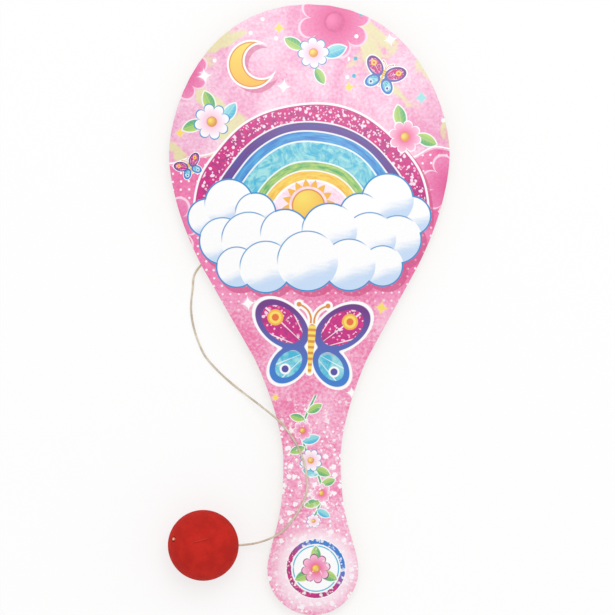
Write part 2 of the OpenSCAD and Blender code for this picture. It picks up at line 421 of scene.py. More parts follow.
class Shade:
    # a node tree, with short calls that add a node and hand back its output
    def __init__(self, tree):
        self.tree = tree

    def feed(self, socket, value):
        if isinstance(value, Wire):
            self.tree.links.new(value.socket, socket)
        else:
            socket.default_value = value

    def add(self, kind, inputs=None, output=0, **settings):
        node = self.tree.nodes.new(kind)
        for key, value in settings.items():
            setattr(node, key, value)
        for key, value in (inputs or {}).items():
            self.feed(node.inputs[key], value)
        return Wire(self, node.outputs[output])

    def math(self, operation, *values):
        return self.add("ShaderNodeMath", dict(enumerate(values)), operation=operation)

    def vector(self, operation, inputs, output=0):
        return self.add("ShaderNodeVectorMath", inputs, output, operation=operation)

    def least(self, *values):
        found = values[0]
        for value in values[1:]:
            found = self.math("MINIMUM", found, value)
        return found

    def most(self, *values):
        found = values[0]
        for value in values[1:]:
            found = self.math("MAXIMUM", found, value)
        return found

    def angle(self, y, x):
        return self.math("ARCTAN2", y, x)

    def split(self, vector):
        node = self.tree.nodes.new("ShaderNodeSeparateXYZ")
        self.feed(node.inputs[0], vector)
        return [Wire(self, s) for s in node.outputs]

    def join(self, x=0, y=0, z=0):
        return self.add("ShaderNodeCombineXYZ", {0: x, 1: y, 2: z})

    def distance(self, vector, x, y, z=0):
        return self.vector("DISTANCE", {0: vector, 1: (x, y, z)}, output="Value")

    def shift(self, vector, x, y):
        return self.vector("ADD", {0: vector, 1: (-x, -y, 0)})

    def place(self, vector, x, y, turn=0, size=1):
        # the vector as a motif sees it that stands at x, y, turned by degrees and drawn at that size
        inputs = {"Vector": vector, "Location": (x, y, 0), "Rotation": (0, 0, math.radians(turn))}
        inputs["Scale"] = (size, size, size)
        return self.add("ShaderNodeMapping", inputs, vector_type="TEXTURE")

    def stretch(self, vector, x, y, z):
        return self.vector("MULTIPLY", {0: vector, 1: (x, y, z)})

    def ramp(self, value, low, high, a=0, b=1, eased=False):
        inputs = {0: value, 1: low, 2: high, 3: a, 4: b}
        kind = "SMOOTHSTEP" if eased else "LINEAR"
        return self.add("ShaderNodeMapRange", inputs, interpolation_type=kind)

    def inside(self, distance, soft=softEdge):
        # 1 where the distance is below 0, with an edge of that softness
        return self.ramp(distance, soft, -soft)

    def blend(self, share, a, b):
        # from colour a, at 0, to colour b, at 1
        node = self.tree.nodes.new("ShaderNodeMix")
        node.data_type = "RGBA"
        for index, value in ((0, share), (6, a), (7, b)):
            self.feed(node.inputs[index], value)
        return Wire(self, node.outputs[2])

    def fill(self, under, distance, ink, soft=softEdge):
        # the ink where the distance is below 0, and what lies under it elsewhere
        return self.blend(self.inside(distance, soft), under, ink)

    def noise(self, vector, scale, detail=2, rough=0.5, twist=0):
        inputs = {"Vector": vector, "Scale": scale, "Detail": detail, "Roughness": rough, "Distortion": twist}
        return self.add("ShaderNodeTexNoise", inputs)

    def cells(self, vector, scale, output="Color", spread=1, flat=False):
        inputs = {"Vector": vector, "Scale": scale, "Randomness": spread}
        return self.add("ShaderNodeTexVoronoi", inputs, output, voronoi_dimensions="2D" if flat else "3D")

    def after(self, vector, ink):
        # the same place, but worked out only once the ink below is done: a long chain of layers
        # would otherwise hold every mask at once, and run out of the renderer's node memory
        settled = (1e-9, 1e-9, 1e-9)
        return self.vector("MULTIPLY_ADD", {0: ink, 1: settled, 2: vector})

    def group(self, tree, **inputs):
        # places a node group and hands back its outputs by name
        node = self.tree.nodes.new("ShaderNodeGroup")
        node.node_tree = tree
        for key, value in inputs.items():
            self.feed(node.inputs[key], value)
        return {s.name: Wire(self, s) for s in node.outputs}

    def objectMm(self):
        # Object coordinates in millimetres
        here = self.add("ShaderNodeTexCoord", output="Object")
        return self.vector("SCALE", {0: here, "Scale": 1 / mm})


def makeGroup(name, build, floats=(), colors=(), outputs=("Color",)):
    # a shader node group that reads a Vector and the named numbers and colours
    tree = bpy.data.node_groups.new(name, "ShaderNodeTree")
    kinds = {"Vector": "Vector", **dict.fromkeys(floats, "Float"), **dict.fromkeys(colors, "Color")}
    for key, kind in kinds.items():
        tree.interface.new_socket(key, in_out="INPUT", socket_type="NodeSocket" + kind)
    for key in outputs:
        kind = "Color" if key == "Color" else "Float"
        tree.interface.new_socket(key, in_out="OUTPUT", socket_type="NodeSocket" + kind)
    shade = Shade(tree)
    source = tree.nodes.new("NodeGroupInput")
    sink = tree.nodes.new("NodeGroupOutput")
    made = build(shade, {s.name: Wire(shade, s) for s in source.outputs if s.name})
    for key, value in made.items():
        shade.feed(sink.inputs[key], value)
    return tree


def makeMaterial(name, build, **settings):
    # build takes the shade and gives what drives the Principled node; settings are its uniform sockets
    material = bpy.data.materials.new(name)
    material.use_nodes = True
    shade = Shade(material.node_tree)
    principled = material.node_tree.nodes["Principled BSDF"]
    for key, value in settings.items():
        principled.inputs[key].default_value = value
    for key, value in build(shade).items():
        shade.feed(principled.inputs[key], value)
    return material


def bumped(s, height, depth, strength=1):
    return s.add("ShaderNodeBump", {"Strength": strength, "Distance": depth * mm, "Height": height})


def buildMottle(s, given):
    # uneven colour and a fine grain, for rubber
    shrink = s.math("DIVIDE", 1, given["Size"])
    near = s.vector("SCALE", {0: given["Vector"], "Scale": shrink})
    broad = s.noise(near, 1, 3, 0.55)
    fine = s.noise(near, 9, 2, 0.6)
    tone = s.ramp(broad * 0.75 + fine * 0.25, 0.36, 0.64, eased=True)
    return {
        "Color": s.blend(tone, given["Dark"], given["Light"]),
        "Tone": tone,
        "Grain": s.noise(near, 22, 2, 0.7),
    }


mottleGroup = makeGroup(
    "mottle", buildMottle, floats=("Size",), colors=("Dark", "Light"), outputs=("Color", "Tone", "Grain"),
)


def buildGrain(s, given):
    # sawn veneer: its length lies along y. Figure, fibres and pores, with light and dark wood colours
    point = given["Vector"]
    x, _, z = s.split(point)
    drift = s.noise(s.stretch(point, 0.05, 0.009, 0.05), 1, 3, 0.5)
    rings = s.math("SINE", (x * 0.16 + drift * 5.5 + z * 0.2) * (2 * math.pi))
    figure = s.ramp(rings, -0.2, 1, eased=True)
    fibres = s.noise(s.stretch(point, 3.4, 0.09, 3.4), 1, 3, 0.65)
    pores = s.cells(s.stretch(point, 1.9, 0.34, 1.9), 1, output="Distance")
    poreMask = s.ramp(pores, 0.2, 0.08)
    warm = s.noise(s.stretch(point, 0.02, 0.012, 0.02), 1, 2)
    base = s.blend(s.ramp(warm, 0.35, 0.65, eased=True), given["Light"], given["Warm"])
    base = s.blend(figure * 0.34, base, given["Dark"])
    base = s.blend(s.ramp(fibres, 0.35, 0.75) * 0.3, base, given["Dark"])
    base = s.blend(poreMask * 0.42, base, given["Pore"])
    return {"Color": base, "Height": fibres * 0.6 - poreMask * 0.7, "Figure": figure}


grainColors = ("Light", "Warm", "Dark", "Pore")
grainGroup = makeGroup("veneerGrain", buildGrain, colors=grainColors, outputs=("Color", "Height", "Figure"))

veneerSet = {
    "light": rgb(226, 199, 158),
    "warm": rgb(216, 184, 138),
    "dark": rgb(188, 148, 100),
    "pore": rgb(150, 108, 68),
    "glue": rgb(112, 78, 48),
    "glueLine": 0.09,  # how far from the joint the wood is stained
    "rough": (0.55, 0.66),
    "bump": 0.05,
}


def gluedWood(s, wood):
    # the wood's colour, stained beside the two glue lines
    z = s.split(s.objectMm())[2]
    joint = s.least(*(abs(z - corner.z / mm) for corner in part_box("core_ply")))
    uneven = s.noise(s.objectMm(), 0.8, 2, 0.6) * 0.6 + 0.3
    return s.blend(s.ramp(joint, veneerSet["glueLine"], 0.02) * uneven, wood, veneerSet["glue"])


coreSet = {
    "light": rgb(205, 170, 124),
    "warm": rgb(192, 152, 104),
    "dark": rgb(160, 118, 74),
    "pore": rgb(118, 82, 50),
    "rough": (0.7, 0.8),
    "bump": 0.09,
}


def veneer(values, turn=0):
    # gives a material's build function; the grain is turned by degrees from the length of the bat
    def build(s):
        point = s.objectMm()
        if turn:
            point = s.place(point, 0, 0, turn)
        grain = s.group(
            grainGroup, Vector=point, Light=values["light"], Warm=values["warm"], Dark=values["dark"],
            Pore=values["pore"],
        )
        return {
            "Base Color": gluedWood(s, grain["Color"]),
            "Roughness": s.ramp(grain["Figure"], 0, 1, *values["rough"]),
            "Normal": bumped(s, grain["Height"], values["bump"]),
        }

    return build


def mottled(s, point, values):
    dark, light = values["dark"], values["light"]
    return s.group(mottleGroup, Vector=point, Size=values["mottle"], Dark=dark, Light=light)


elasticLook = {
    "light": rgb(225, 213, 194),
    "dark": rgb(197, 183, 161),
    "speck": rgb(158, 134, 104),
    "cut": rgb(255, 178, 148),  # the cut end, painted paler and pinker: a painted reflection of the red ball and a painted highlight
    "cutReach": (1.1, 0.6),
    "mottle": 2.6,
    "rough": (0.6, 0.74),
    "bump": 0.03,
}


def elasticRubber(s):
    here = s.objectMm()
    mottle = mottled(s, here, elasticLook)
    specks = s.ramp(s.cells(here, 2.1, output="Distance"), 0.16, 0.1)
    rubber = s.blend(specks * 0.35, mottle["Color"], elasticLook["speck"])
    # the knot's tip is painted paler and pinker, a painted red reflection from the ball and a painted
    # highlight
    cut = s.ramp(s.distance(here, *(knotTip / mm)), *elasticLook["cutReach"])
    return {
        "Base Color": s.blend(cut, rubber, elasticLook["cut"]),
        "Roughness": s.ramp(mottle["Tone"], 0, 1, *elasticLook["rough"]),
        "Normal": bumped(s, mottle["Grain"], elasticLook["bump"], 0.6),
    }


stapleLook = {"bright": rgb(196, 198, 200), "dull": rgb(150, 150, 150), "rough": (0.26, 0.42), "bump": 0.01}


def stapleWire(s):
    here = s.objectMm()
    drawn = s.noise(s.stretch(here, 1, 1, 6), 1.5, 3, 0.6)
    return {
        "Base Color": s.blend(drawn, stapleLook["dull"], stapleLook["bright"]),
        "Roughness": s.ramp(drawn, 0.3, 0.7, *stapleLook["rough"]),
        "Normal": bumped(s, drawn, stapleLook["bump"], 0.5),
    }


veneerMaterial = makeMaterial("faceVeneer", veneer(veneerSet), **{"Specular IOR Level": 0.35})
coreMaterial = makeMaterial("coreVeneer", veneer(coreSet, turn=90), **{"Specular IOR Level": 0.3})
elasticMaterial = makeMaterial(
    "elasticRubber", elasticRubber, **{"Specular IOR Level": 0.35, "Sheen Weight": 0.15}
)
stapleMaterial = makeMaterial("stapleWire", stapleWire, Metallic=1.0)
elastic.data.materials.append(elasticMaterial)
print("stage: wood, rubber and wire materials")


# The plies and the print are cut to one outline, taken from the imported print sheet
def outlineLoop():
    bm = bmesh.new()
    bm.from_mesh(frame["nodes"]["print_sheet"].data)
    bmesh.ops.remove_doubles(bm, verts=bm.verts, dist=hair)
    bmesh.ops.dissolve_limit(bm, angle_limit=math.radians(0.2), verts=bm.verts, edges=bm.edges)
    face = max(bm.faces, key=lambda f: f.calc_area() * (f.normal.z > 0.9))
    loop = [v.co.xy.copy() for v in face.verts]
    bm.free()
    return loop


outline = outlineLoop()
sheetSet = {  # rim: how far its lower and upper edges are rounded
    "back_ply": {"name": "backPly", "rim": (0.35, 0.1), "slot": "face_veneer"},
    "core_ply": {"name": "corePly", "rim": (0.08, 0.08), "slot": "core_veneer"},
    "front_ply": {"name": "frontPly", "rim": (0.1, 0.08), "slot": "face_veneer"},
    "print_sheet": {"name": "printSheet", "rim": (0.03, 0.07), "slot": "printed_paper"},
}


def makeSheet(node, material):
    # the outline extruded to the node's thickness, its lower and upper rims eased
    low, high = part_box(node)[0].z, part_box(node)[1].z
    values = sheetSet[node]
    bm = bmesh.new()
    face = bm.faces.new([bm.verts.new((p.x, p.y, low)) for p in outline])
    made = bmesh.ops.extrude_face_region(bm, geom=[face])["geom"]
    top = [g for g in made if isinstance(g, bmesh.types.BMVert)]
    bmesh.ops.translate(bm, vec=(0, 0, high - low), verts=top)
    for height, rim in zip((low, high), values["rim"]):
        edges = [e for e in bm.edges if all(abs(v.co.z - height) < hair for v in e.verts)]
        bmesh.ops.bevel(
            bm, geom=edges, offset=rim * mm, segments=3, profile=0.5, affect="EDGES", material=-1,
            clamp_overlap=True,
        )
    piece = finishMesh(values["name"], bm, material)
    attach(piece, "bat")
    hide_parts(node)
    return piece


makeSheet("back_ply", veneerMaterial)
makeSheet("core_ply", coreMaterial)
makeSheet("front_ply", veneerMaterial)
printSheet = makeSheet("print_sheet", None)
print("stage: plies and print sheet")


stapleSet = {
    "width": 9.0,  # over its legs
    "wire": 0.65,
    "legs": 3.6,  # how deep they are driven
    "bend": 0.65,
    "sag": 0.05,  # the crown bows down over the elastic
    "flatShare": 0.9,  # the wire is drawn a little flat
    "tip": 0.3,  # its share of thickness at the cut points
    "step": 0.6,
}


def makeStaple():
    values = stapleSet
    along = Vector((0, 0, 1)).cross(elasticAim)  # the crown's direction
    half = (values["width"] - values["wire"]) / 2
    crown = batLow / mm - anchorSet["pinchHeight"] - values["wire"] / 2
    tip = batLow / mm + values["legs"]
    bend = values["bend"]
    corner = []
    for turn in range(0, 91, 15):
        angle = math.radians(turn)
        corner.append((half - bend + bend * math.cos(angle), crown + bend - bend * math.sin(angle)))
    middle = half - bend
    spots = [middle * (1 - i / 4) for i in range(1, 8)]
    bow = [(x, crown - values["sag"] * (1 - (x / middle) ** 2)) for x in spots]
    step = values["step"]
    leg = [(half, tip - i * step) for i in range(int((tip - crown - bend) / step) + 1)] + corner
    bent = leg + bow + [(-x, z) for x, z in reversed(leg)]
    line = [stapleCentre + along * x * mm + Vector((0, 0, z * mm)) for x, z in bent]
    total = len(line) - 1

    def shape(share):
        ends = min(share, 1 - share) * total
        thick = values["tip"] + (1 - values["tip"]) * min(1, ends)
        return thick, thick * values["flatShare"]

    bm = bmesh.new()
    sweep(bm, line, roundSection(values["wire"] * mm, 16), side=elasticAim.copy(), shape=shape)
    piece = finishMesh("wireStaple", bm, stapleMaterial)
    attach(piece, "bat")
    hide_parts("staple")


makeStaple()
print("stage: staple")

ballSet = {
    "bore": 0.92,
    "boreLip": 0.18,
    "recess": 2.1,
    "recessDepth": 3.0,
    "recessLip": 0.16,
    "foot": 0.2,  # the bevel round the foot of the recess
    "slide": (1.4, 7.0),  # how far round a hole the surface slides with it
    "skin": (1.0, 0.4),  # depths between which the slide is laid back on the sphere
    "lipSteps": 5,
    "rings": 56,
    "steps": 128,
    "light": rgb(200, 45, 37),
    "dark": rgb(183, 39, 33),
    # painted shade, laid in the pits and in the scuff's groove
    "hollowShade": rgb(132, 24, 20),
    # painted highlight along the scuff's ridge
    "ridge": rgb(226, 90, 84),
    "scuff": (-39.9, -81.9, 14.5, 3.3),  # x, y, turn and half length
    "mottle": 4.6,
    "rough": (0.66, 0.78),
    "bump": 0.05,
}


def ballProfile():
    # half of the ball's section, as radius and height along the bore
    values = ballSet
    radius = ballRadius / mm

    def lip(hole, ease, sign):
        # from the wall of the hole over its rounded lip to the sphere
        points = []
        top = math.sqrt(radius**2 - (hole + ease) ** 2)
        for i in range(values["lipSteps"] + 1):
            angle = math.radians(90) * i / values["lipSteps"]
            reach = hole + ease - ease * math.cos(angle)
            height = top - ease + ease * math.sin(angle)
            points.append((reach, sign * height))
        return points

    bore, recess = values["bore"] / 2, values["recess"] / 2
    upper = lip(bore, values["boreLip"], 1)
    lower = lip(recess, values["recessLip"], -1)
    start, stop = (math.atan2(r, z) for r, z in (upper[-1], lower[-1]))
    shell = []
    for i in range(1, values["rings"]):
        angle = start + (stop - start) * i / values["rings"]
        shell.append((radius * math.sin(angle), radius * math.cos(angle)))
    floor = -(radius - values["recessDepth"])
    foot = values["foot"]
    inner = [(recess, floor - foot), (recess - foot, floor), (bore, floor)]
    return [(bore, 0.0)] + upper + shell + lower[::-1] + inner


def makeBall():
    bm = bmesh.new()
    verts = [bm.verts.new(Vector((r * mm, 0, z * mm))) for r, z in ballProfile()]
    edges = [bm.edges.new((a, b)) for a, b in pairsRound(verts)]
    bmesh.ops.spin(
        bm, geom=verts + edges, cent=(0, 0, 0), axis=(0, 0, 1), angle=2 * math.pi, steps=ballSet["steps"],
        use_merge=True,
    )
    turned = boreAxis.to_track_quat("Z", "Y").to_matrix().to_4x4()
    bmesh.ops.transform(bm, matrix=turned, verts=bm.verts)
    near, far = ballSet["slide"]
    deep, shallow = (ballRadius - depth * mm for depth in ballSet["skin"])
    for vert in bm.verts:  # slide the bore off the middle and lay the skin back on the sphere
        reach = vert.co.length
        fromAxis = (vert.co - boreAxis * vert.co.dot(boreAxis)).length / mm
        vert.co += (boreCentre - ballCentre) * (1 - easedStep(fromAxis, near, far))
        skin = easedStep(reach, deep, shallow)
        vert.co *= 1 + skin * (reach / vert.co.length - 1)
    bmesh.ops.translate(bm, vec=ballCentre, verts=bm.verts)
    return finishMesh("rubberBall", bm, sharpAngle=60)


def ballRubber(s):
    here = s.objectMm()
    mottle = mottled(s, here, ballSet)
    # the pits are pressed in by the bump and darkened with painted shade
    pits = s.ramp(s.cells(here, 1.1, output="Distance"), 0.13, 0.06)
    ink = s.blend(pits * 0.35, mottle["Color"], ballSet["hollowShade"])
    cx, cy, turn, half = ballSet["scuff"]
    x, y, z = s.split(s.place(here, cx, cy, turn))
    inScuff = s.ramp(abs(x), half, half * 0.6, eased=True) * s.ramp(z, 16, 18)
    bend = y - x * x * 0.012

    def crease(off):
        return s.ramp(abs(bend - off), 0.26, 0.05, eased=True) * inScuff

    groove, ridge = crease(-0.16), crease(0.22)
    # painted shade in the scuff's groove and a painted highlight along its ridge
    ink = s.blend(groove * 0.4, ink, ballSet["hollowShade"])
    ink = s.blend(ridge * 0.2, ink, ballSet["ridge"])
    return {
        "Base Color": ink,
        "Roughness": s.ramp(mottle["Tone"], 0, 1, *ballSet["rough"]),
        "Normal": bumped(s, mottle["Grain"] - pits * 0.5 + ridge - groove, ballSet["bump"]),
    }


ball = makeBall()
ball.data.materials.append(makeMaterial("ballRubber", ballRubber, **{"Specular IOR Level": 0.04}))
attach(ball, "ball")
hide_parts("ball")
print("stage: ball")

for piece, node, body in (
    (anchor, "elastic_anchor", "bat"), (core, "elastic_core", "cord_end"), (knot, "ball_knot", "cord_end"),
):
    piece.data.materials.append(elasticMaterial)
    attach(piece, body)
    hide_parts(node)

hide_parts("elastic_cord")
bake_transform(elastic)
print("stage: elastic joined to the bat and the ball")


# The printed design, in millimetres on the face of the bat, from the ground up
inkSet = {
    "wash": (rgb(236, 146, 190), rgb(252, 216, 234)),
    "band": (rgb(230, 84, 150), rgb(244, 134, 184)),
    "lower": (rgb(238, 120, 170), rgb(250, 196, 220)),
    "petal": (rgb(242, 116, 174), rgb(226, 74, 146)),
    "petalLine": rgb(206, 70, 134),
    "lime": rgb(228, 232, 158),
    "shadow": rgb(206, 70, 128),
    "line": rgb(30, 140, 205),
    "white": rgb(255, 255, 255),
    "cloudShade": rgb(190, 216, 246),
    "magenta": (rgb(232, 8, 132), rgb(158, 20, 124)),
    "violet": (rgb(106, 34, 132), rgb(72, 70, 160)),
    "blue": (rgb(40, 120, 205), rgb(70, 170, 225)),
    "turquoise": (rgb(52, 182, 216), rgb(160, 226, 228)),
    "green": (rgb(84, 176, 112), rgb(186, 216, 110)),
    "gold": (rgb(250, 222, 96), rgb(246, 184, 58)),
    "goldLine": rgb(222, 142, 44),
    "orange": rgb(235, 110, 42),
    "plum": rgb(132, 34, 112),
    "blush": rgb(250, 190, 218),
    "pink": rgb(236, 84, 150),
    "sky": (rgb(255, 236, 246), rgb(253, 208, 230)),
    "archFleck": rgb(255, 226, 242),
    "wingFleck": rgb(255, 214, 236),
    "halo": rgb(255, 240, 247),
    "soil": rgb(120, 60, 90),  # a trace of it makes the paper uneven
    "paperEdge": rgb(240, 232, 226),
}


def buildGlitter(s, given):
    # loose flecks of light over a mosaic of small tiles
    point = given["Vector"]
    tone, pick, _ = s.split(s.cells(point, 0.8, flat=True))
    fineTone, finePick, _ = s.split(s.cells(s.shift(point, 3.1, 7.7), 1.9, flat=True))
    reach = s.cells(point, 0.8, output="Distance", flat=True)
    large = s.ramp(pick, 0.84, 0.86) * s.ramp(reach, 0.55, 0.4)
    small = s.ramp(finePick, 0.88, 0.9)
    return {"Tone": tone * 0.6 + fineTone * 0.4, "Fleck": s.most(large, small * 0.85)}


glitterGroup = makeGroup("glitter", buildGlitter, outputs=("Tone", "Fleck"))


def buildPuff(s, given):
    # one round of the cloud bank: white above, shaded below, with a drawn arc over its upper left
    point = given["Vector"]
    x, y, _ = s.split(point)
    radius = given["Radius"]
    near = s.distance(point, 0, 0) - radius
    withinBank = s.inside(given["Bank"] + 0.6)
    low = s.ramp((y - x * 0.35) / radius, 0.25, -0.95, eased=True)
    streak = s.noise(s.stretch(point, 0.35, 1.1, 1), 0.5, 2, 0.6, 0.8)
    tint = s.ramp(low + streak * 0.5, 0.45, 1.15, 0, 0.9, eased=True)
    shaded = s.blend(tint, inkSet["white"], inkSet["cloudShade"])
    drawn = s.blend(s.inside(near) * withinBank, given["Under"], shaded)
    arc = s.ramp(abs(near + 0.2), 0.3, 0.14) * s.ramp((y - x * 0.5) / radius, 0.35, 0.7) * withinBank
    return {"Color": s.blend(arc * 0.9, drawn, inkSet["line"])}


puffGroup = makeGroup("cloudPuff", buildPuff, floats=("Radius", "Bank"), colors=("Under",))


def buildDaisy(s, given):
    # eight round petals, 1 from the middle to their tips, with a domed centre
    point = given["Vector"]
    x, y, _ = s.split(point)
    radius = s.distance(point, 0, 0)
    turn = s.angle(y, x)
    lobes = s.math("POWER", abs(s.math("COSINE", turn * 4)), 0.45)
    edge = radius - (0.62 + 0.38 * lobes)
    drawn = s.fill(given["Under"], edge - 0.07, given["Line"], crispEdge)
    drawn = s.fill(drawn, edge, s.blend(s.ramp(radius, 0.2, 0.95), given["Deep"], given["Petal"]), crispEdge)
    drawn = s.fill(drawn, radius - 0.3, given["Rim"], crispEdge)
    dome = s.blend(s.ramp(s.distance(point, -0.08, 0.1), 0.05, 0.36), given["Middle"], given["Rim"])
    return {"Color": s.fill(drawn, radius - 0.25, dome, crispEdge)}


daisyGroup = makeGroup("daisy", buildDaisy, colors=("Petal", "Deep", "Line", "Middle", "Rim", "Under"))


def stamp(s, group, here, ink, spot, **inputs):
    # a motif's group over the ink; spot is x, y, turn and size
    place = s.place(s.after(here, ink), *spot)
    return s.group(group, Vector=place, Under=ink, **inputs)["Color"]


def stampDaisy(s, here, ink, spot, petal, deep, line, middle=inkSet["gold"][0], rim=inkSet["goldLine"]):
    return stamp(
        s, daisyGroup, here, ink, spot, Petal=petal, Deep=deep, Line=line, Middle=middle, Rim=rim,
    )


def buildLeaf(s, given):
    # a pointed leaf from 0 to 1 along x, a quarter as wide on each side, with a pale rib
    point = given["Vector"]
    x, y, _ = s.split(point)
    edge = s.most(s.distance(point, 0.5, -0.38), s.distance(point, 0.5, 0.38)) - 0.63
    drawn = s.fill(given["Under"], edge - 0.05, inkSet["white"], crispEdge)
    drawn = s.fill(drawn, edge, s.blend(s.ramp(y, -0.16, 0.2), given["Dark"], given["Light"]), crispEdge)
    veins = s.math("PINGPONG", x - abs(y) * 0.7, 0.085)
    rib = s.most(s.ramp(abs(y), 0.03, 0.015), s.ramp(veins, 0.016, 0.004) * 0.7)
    return {"Color": s.blend(rib * s.inside(edge + 0.05, crispEdge) * 0.75, drawn, given["Light"])}


leafGroup = makeGroup("leaf", buildLeaf, colors=("Light", "Dark", "Under"))


def stampLeaf(s, here, ink, spot, tint="green"):
    dark, light = inkSet[tint]
    return stamp(s, leafGroup, here, ink, spot, Light=light, Dark=dark)


def buildSparkle(s, given):
    # four thin points, 1 from the middle to each tip
    x, y, _ = s.split(given["Vector"])
    spread = s.math("POWER", s.math("SQRT", abs(x)) + s.math("SQRT", abs(y)), 2)
    glow = s.ramp(s.distance(given["Vector"], 0, 0), 0.75, 0.1, 0, 0.55, eased=True)
    drawn = s.blend(glow, given["Under"], inkSet["white"])
    return {"Color": s.blend(s.ramp(spread, 1.0, 0.88), drawn, given["Fill"])}


sparkleGroup = makeGroup("sparkle", buildSparkle, colors=("Fill", "Under"))


def buildButterfly(s, given):
    # wings spread 17 to each side, mirrored about the body
    point = given["Vector"]
    x, y, _ = s.split(point)
    side = abs(x)
    half = s.join(side, y)

    def oval(cx, cy, turn, a, b):
        near = s.stretch(s.place(half, cx, cy, turn), 1 / a, 1 / b, 0)
        return (s.distance(near, 0, 0) - 1) * min(a, b)

    wings = s.math("SMOOTH_MIN", oval(9.4, 6.6, 37, 9.6, 6.2), oval(6.6, -5.6, -50, 7.0, 4.9), 1.2)
    along = s.most(abs(y + 0.8) - 6.8, 0)
    body = s.distance(s.join(side, along), 0, 0) - s.ramp(y, -8, 4, 0.5, 1.2)
    feeler = s.most(abs(s.distance(half, 5.4, 8.2) - 4.9) - 0.3, 7.4 - y, side - 4.6)
    feeler = s.least(feeler, s.distance(half, 4.5, 13.1) - 0.75)
    drawn = s.fill(given["Under"], s.least(wings, body, feeler) - 0.75, inkSet["white"])
    drawn = s.fill(drawn, wings, s.blend(s.ramp(y, -8, 12), inkSet["blue"][0], inkSet["violet"][0]))
    glitter = s.group(glitterGroup, Vector=point)
    cloudy = s.noise(point, 0.22, 3, 0.6, 1.2)
    upper = s.blend(glitter["Tone"], *inkSet["magenta"])
    lower = s.blend(s.ramp(cloudy, 0.38, 0.62), *inkSet["turquoise"])
    share = s.ramp(y + cloudy * 6, 0.2, 4.4, eased=True)
    inner = s.blend(glitter["Fleck"] * share, s.blend(share, lower, upper), inkSet["wingFleck"])
    drawn = s.fill(drawn, wings + 1.5, inner)
    turn = s.angle(y + 1, side)
    veins = s.ramp(s.math("PINGPONG", turn + 0.06, 0.19), 0.02, 0.01) * s.inside(wings + 1.5)
    drawn = s.blend(veins * s.ramp(side, 1.5, 2.2) * 0.8, drawn, inkSet["white"])
    pale, gold = inkSet["gold"]
    for cx, cy, rings in (
        (11.6, 8.6, ((2.5, gold), (1.9, pale), (1.1, inkSet["orange"]))),
        (7.6, -7.2, ((1.7, inkSet["white"]), (1.1, inkSet["violet"][1]))),
    ):
        eye = s.distance(half, cx, cy)
        for radius, ink in rings:
            drawn = s.fill(drawn, eye - radius, ink)
    drawn = s.fill(drawn, feeler, inkSet["goldLine"])
    stripes = s.ramp(s.math("PINGPONG", y, 0.9), 0.25, 0.55)
    return {"Color": s.fill(drawn, body, s.blend(stripes, inkSet["goldLine"], pale))}


butterflyGroup = makeGroup("butterfly", buildButterfly, colors=("Under",))

designSet = {
    "bandTop": 55.0,
    # heights between which each one fades in or out
    "bandFade": (22, 0),
    "dotFade": (60, 66),
    "splashFade": (-28, -52),
    "fleckFade": (-26, -36),
    "vine": (-78, -31),  # its lower and upper end
    "dotPitch": 2.9,
    "keyline": 0.8,
    "shadow": (1.5, -1.6),
    "castBelow": 30,  # puffs lower than this cast a shadow
    "stripes": (6.4, 3.4, 3.6, 7.0, 3.4, 3.4),
    "bite": (3.6, 1.2, 1.4),  # the round cut from the moon: how far across and up, and how much smaller
    # x, y and radius
    "arch": (0.5, 31.5, 42.5),
    "sun": (-0.5, 37.5, 6.0),
    "moon": (-20.5, 88.5, 8.2),
    "badge": (1.1, -93.2, 10.9),
    "dotFree": ((2, 92, 10), (-35, 69, 9.5), (35.5, 64, 9.5), (26.5, 83.5, 5.5), (-43, 51.5, 4)),
    "puffs": (
        (-37.2, 33.5, 7.0), (-29, 38.5, 9.0), (-19.5, 35, 7.5), (36.5, 33.5, 7.3), (28, 39.5, 9.5),
        (18, 34.5, 7.5), (-31.5, 25, 8.6), (-22, 25.5, 10.0), (31.5, 25, 8.8), (21.5, 25.5, 9.5),
        (-9, 27.5, 9.0), (7, 28.5, 10.0), (-26.5, 15.5, 7.5), (26, 15.5, 7.5), (-16, 15.5, 9.5),
        (14, 16, 9.5), (-1, 17.5, 11.0),
    ),
    # x, y, turn and size
    "butterflies": ((0, -13.5, -4, 1.16), (26.5, 83.5, -24, 0.42), (-43, 51.5, 28, 0.28)),
    "groundDaisies": ((9.5, 103.5, 12, 12.5), (52.5, 44, 30, 12), (-53, 30, 5, 12.5), (-46.5, 86, 20, 10)),
    "leaves": (
        (-1.3, -37, 30, 5.8), (-2.5, -39.5, 165, 5.4), (-3.4, -47.5, 15, 6.4), (-2.6, -49.5, 200, 5.6),
        (0.8, -57, -25, 6.2), (2.1, -59.5, 160, 5.8), (3.2, -63, 20, 5.4), (3.0, -69, 195, 6.0),
        (1.7, -72, -30, 5.2), (-34.5, 71.5, 112, 8.0), (-38, 68, 200, 8.0), (-31, 68, 55, 8.0),
        (38.5, 62.5, -25, 8.0), (33.5, 65, 100, 8.5), (5.5, 91.5, 20, 8.5), (-2, 94, 150, 7.5),
        (2.5, 87, -62, 6.5),
    ),
    "paleDaisies": ((-35, 68, 12, 6.2), (1.8, 92.5, 4, 5.4), (-0.4, -54.2, 20, 3.9), (0.4, -76, 10, 2.4)),
    "brightDaisies": ((34.5, 62, 30, 5.6), (-3.3, -43.5, 0, 3.3), (3.4, -66, 40, 3.3)),
    "sparkles": {
        "white": (
            (-37.5, 84.5, 8, 3.6), (-9, 80.5, -6, 3.4), (29.5, 97, 10, 3.2), (-22.5, 2.5, 6, 3.6),
            (14.5, -30, 0, 2.8),
        ),
        "turquoise": ((40.5, 76, 0, 3.6),),
        "gold": (
            (-10.5, 101.5, 0, 3.0), (14.5, 80, 5, 2.8), (-46.5, 64, 0, 2.8), (25.5, 0.5, -8, 3.4),
            (-13, -31.5, 0, 2.4),
        ),
    },
}


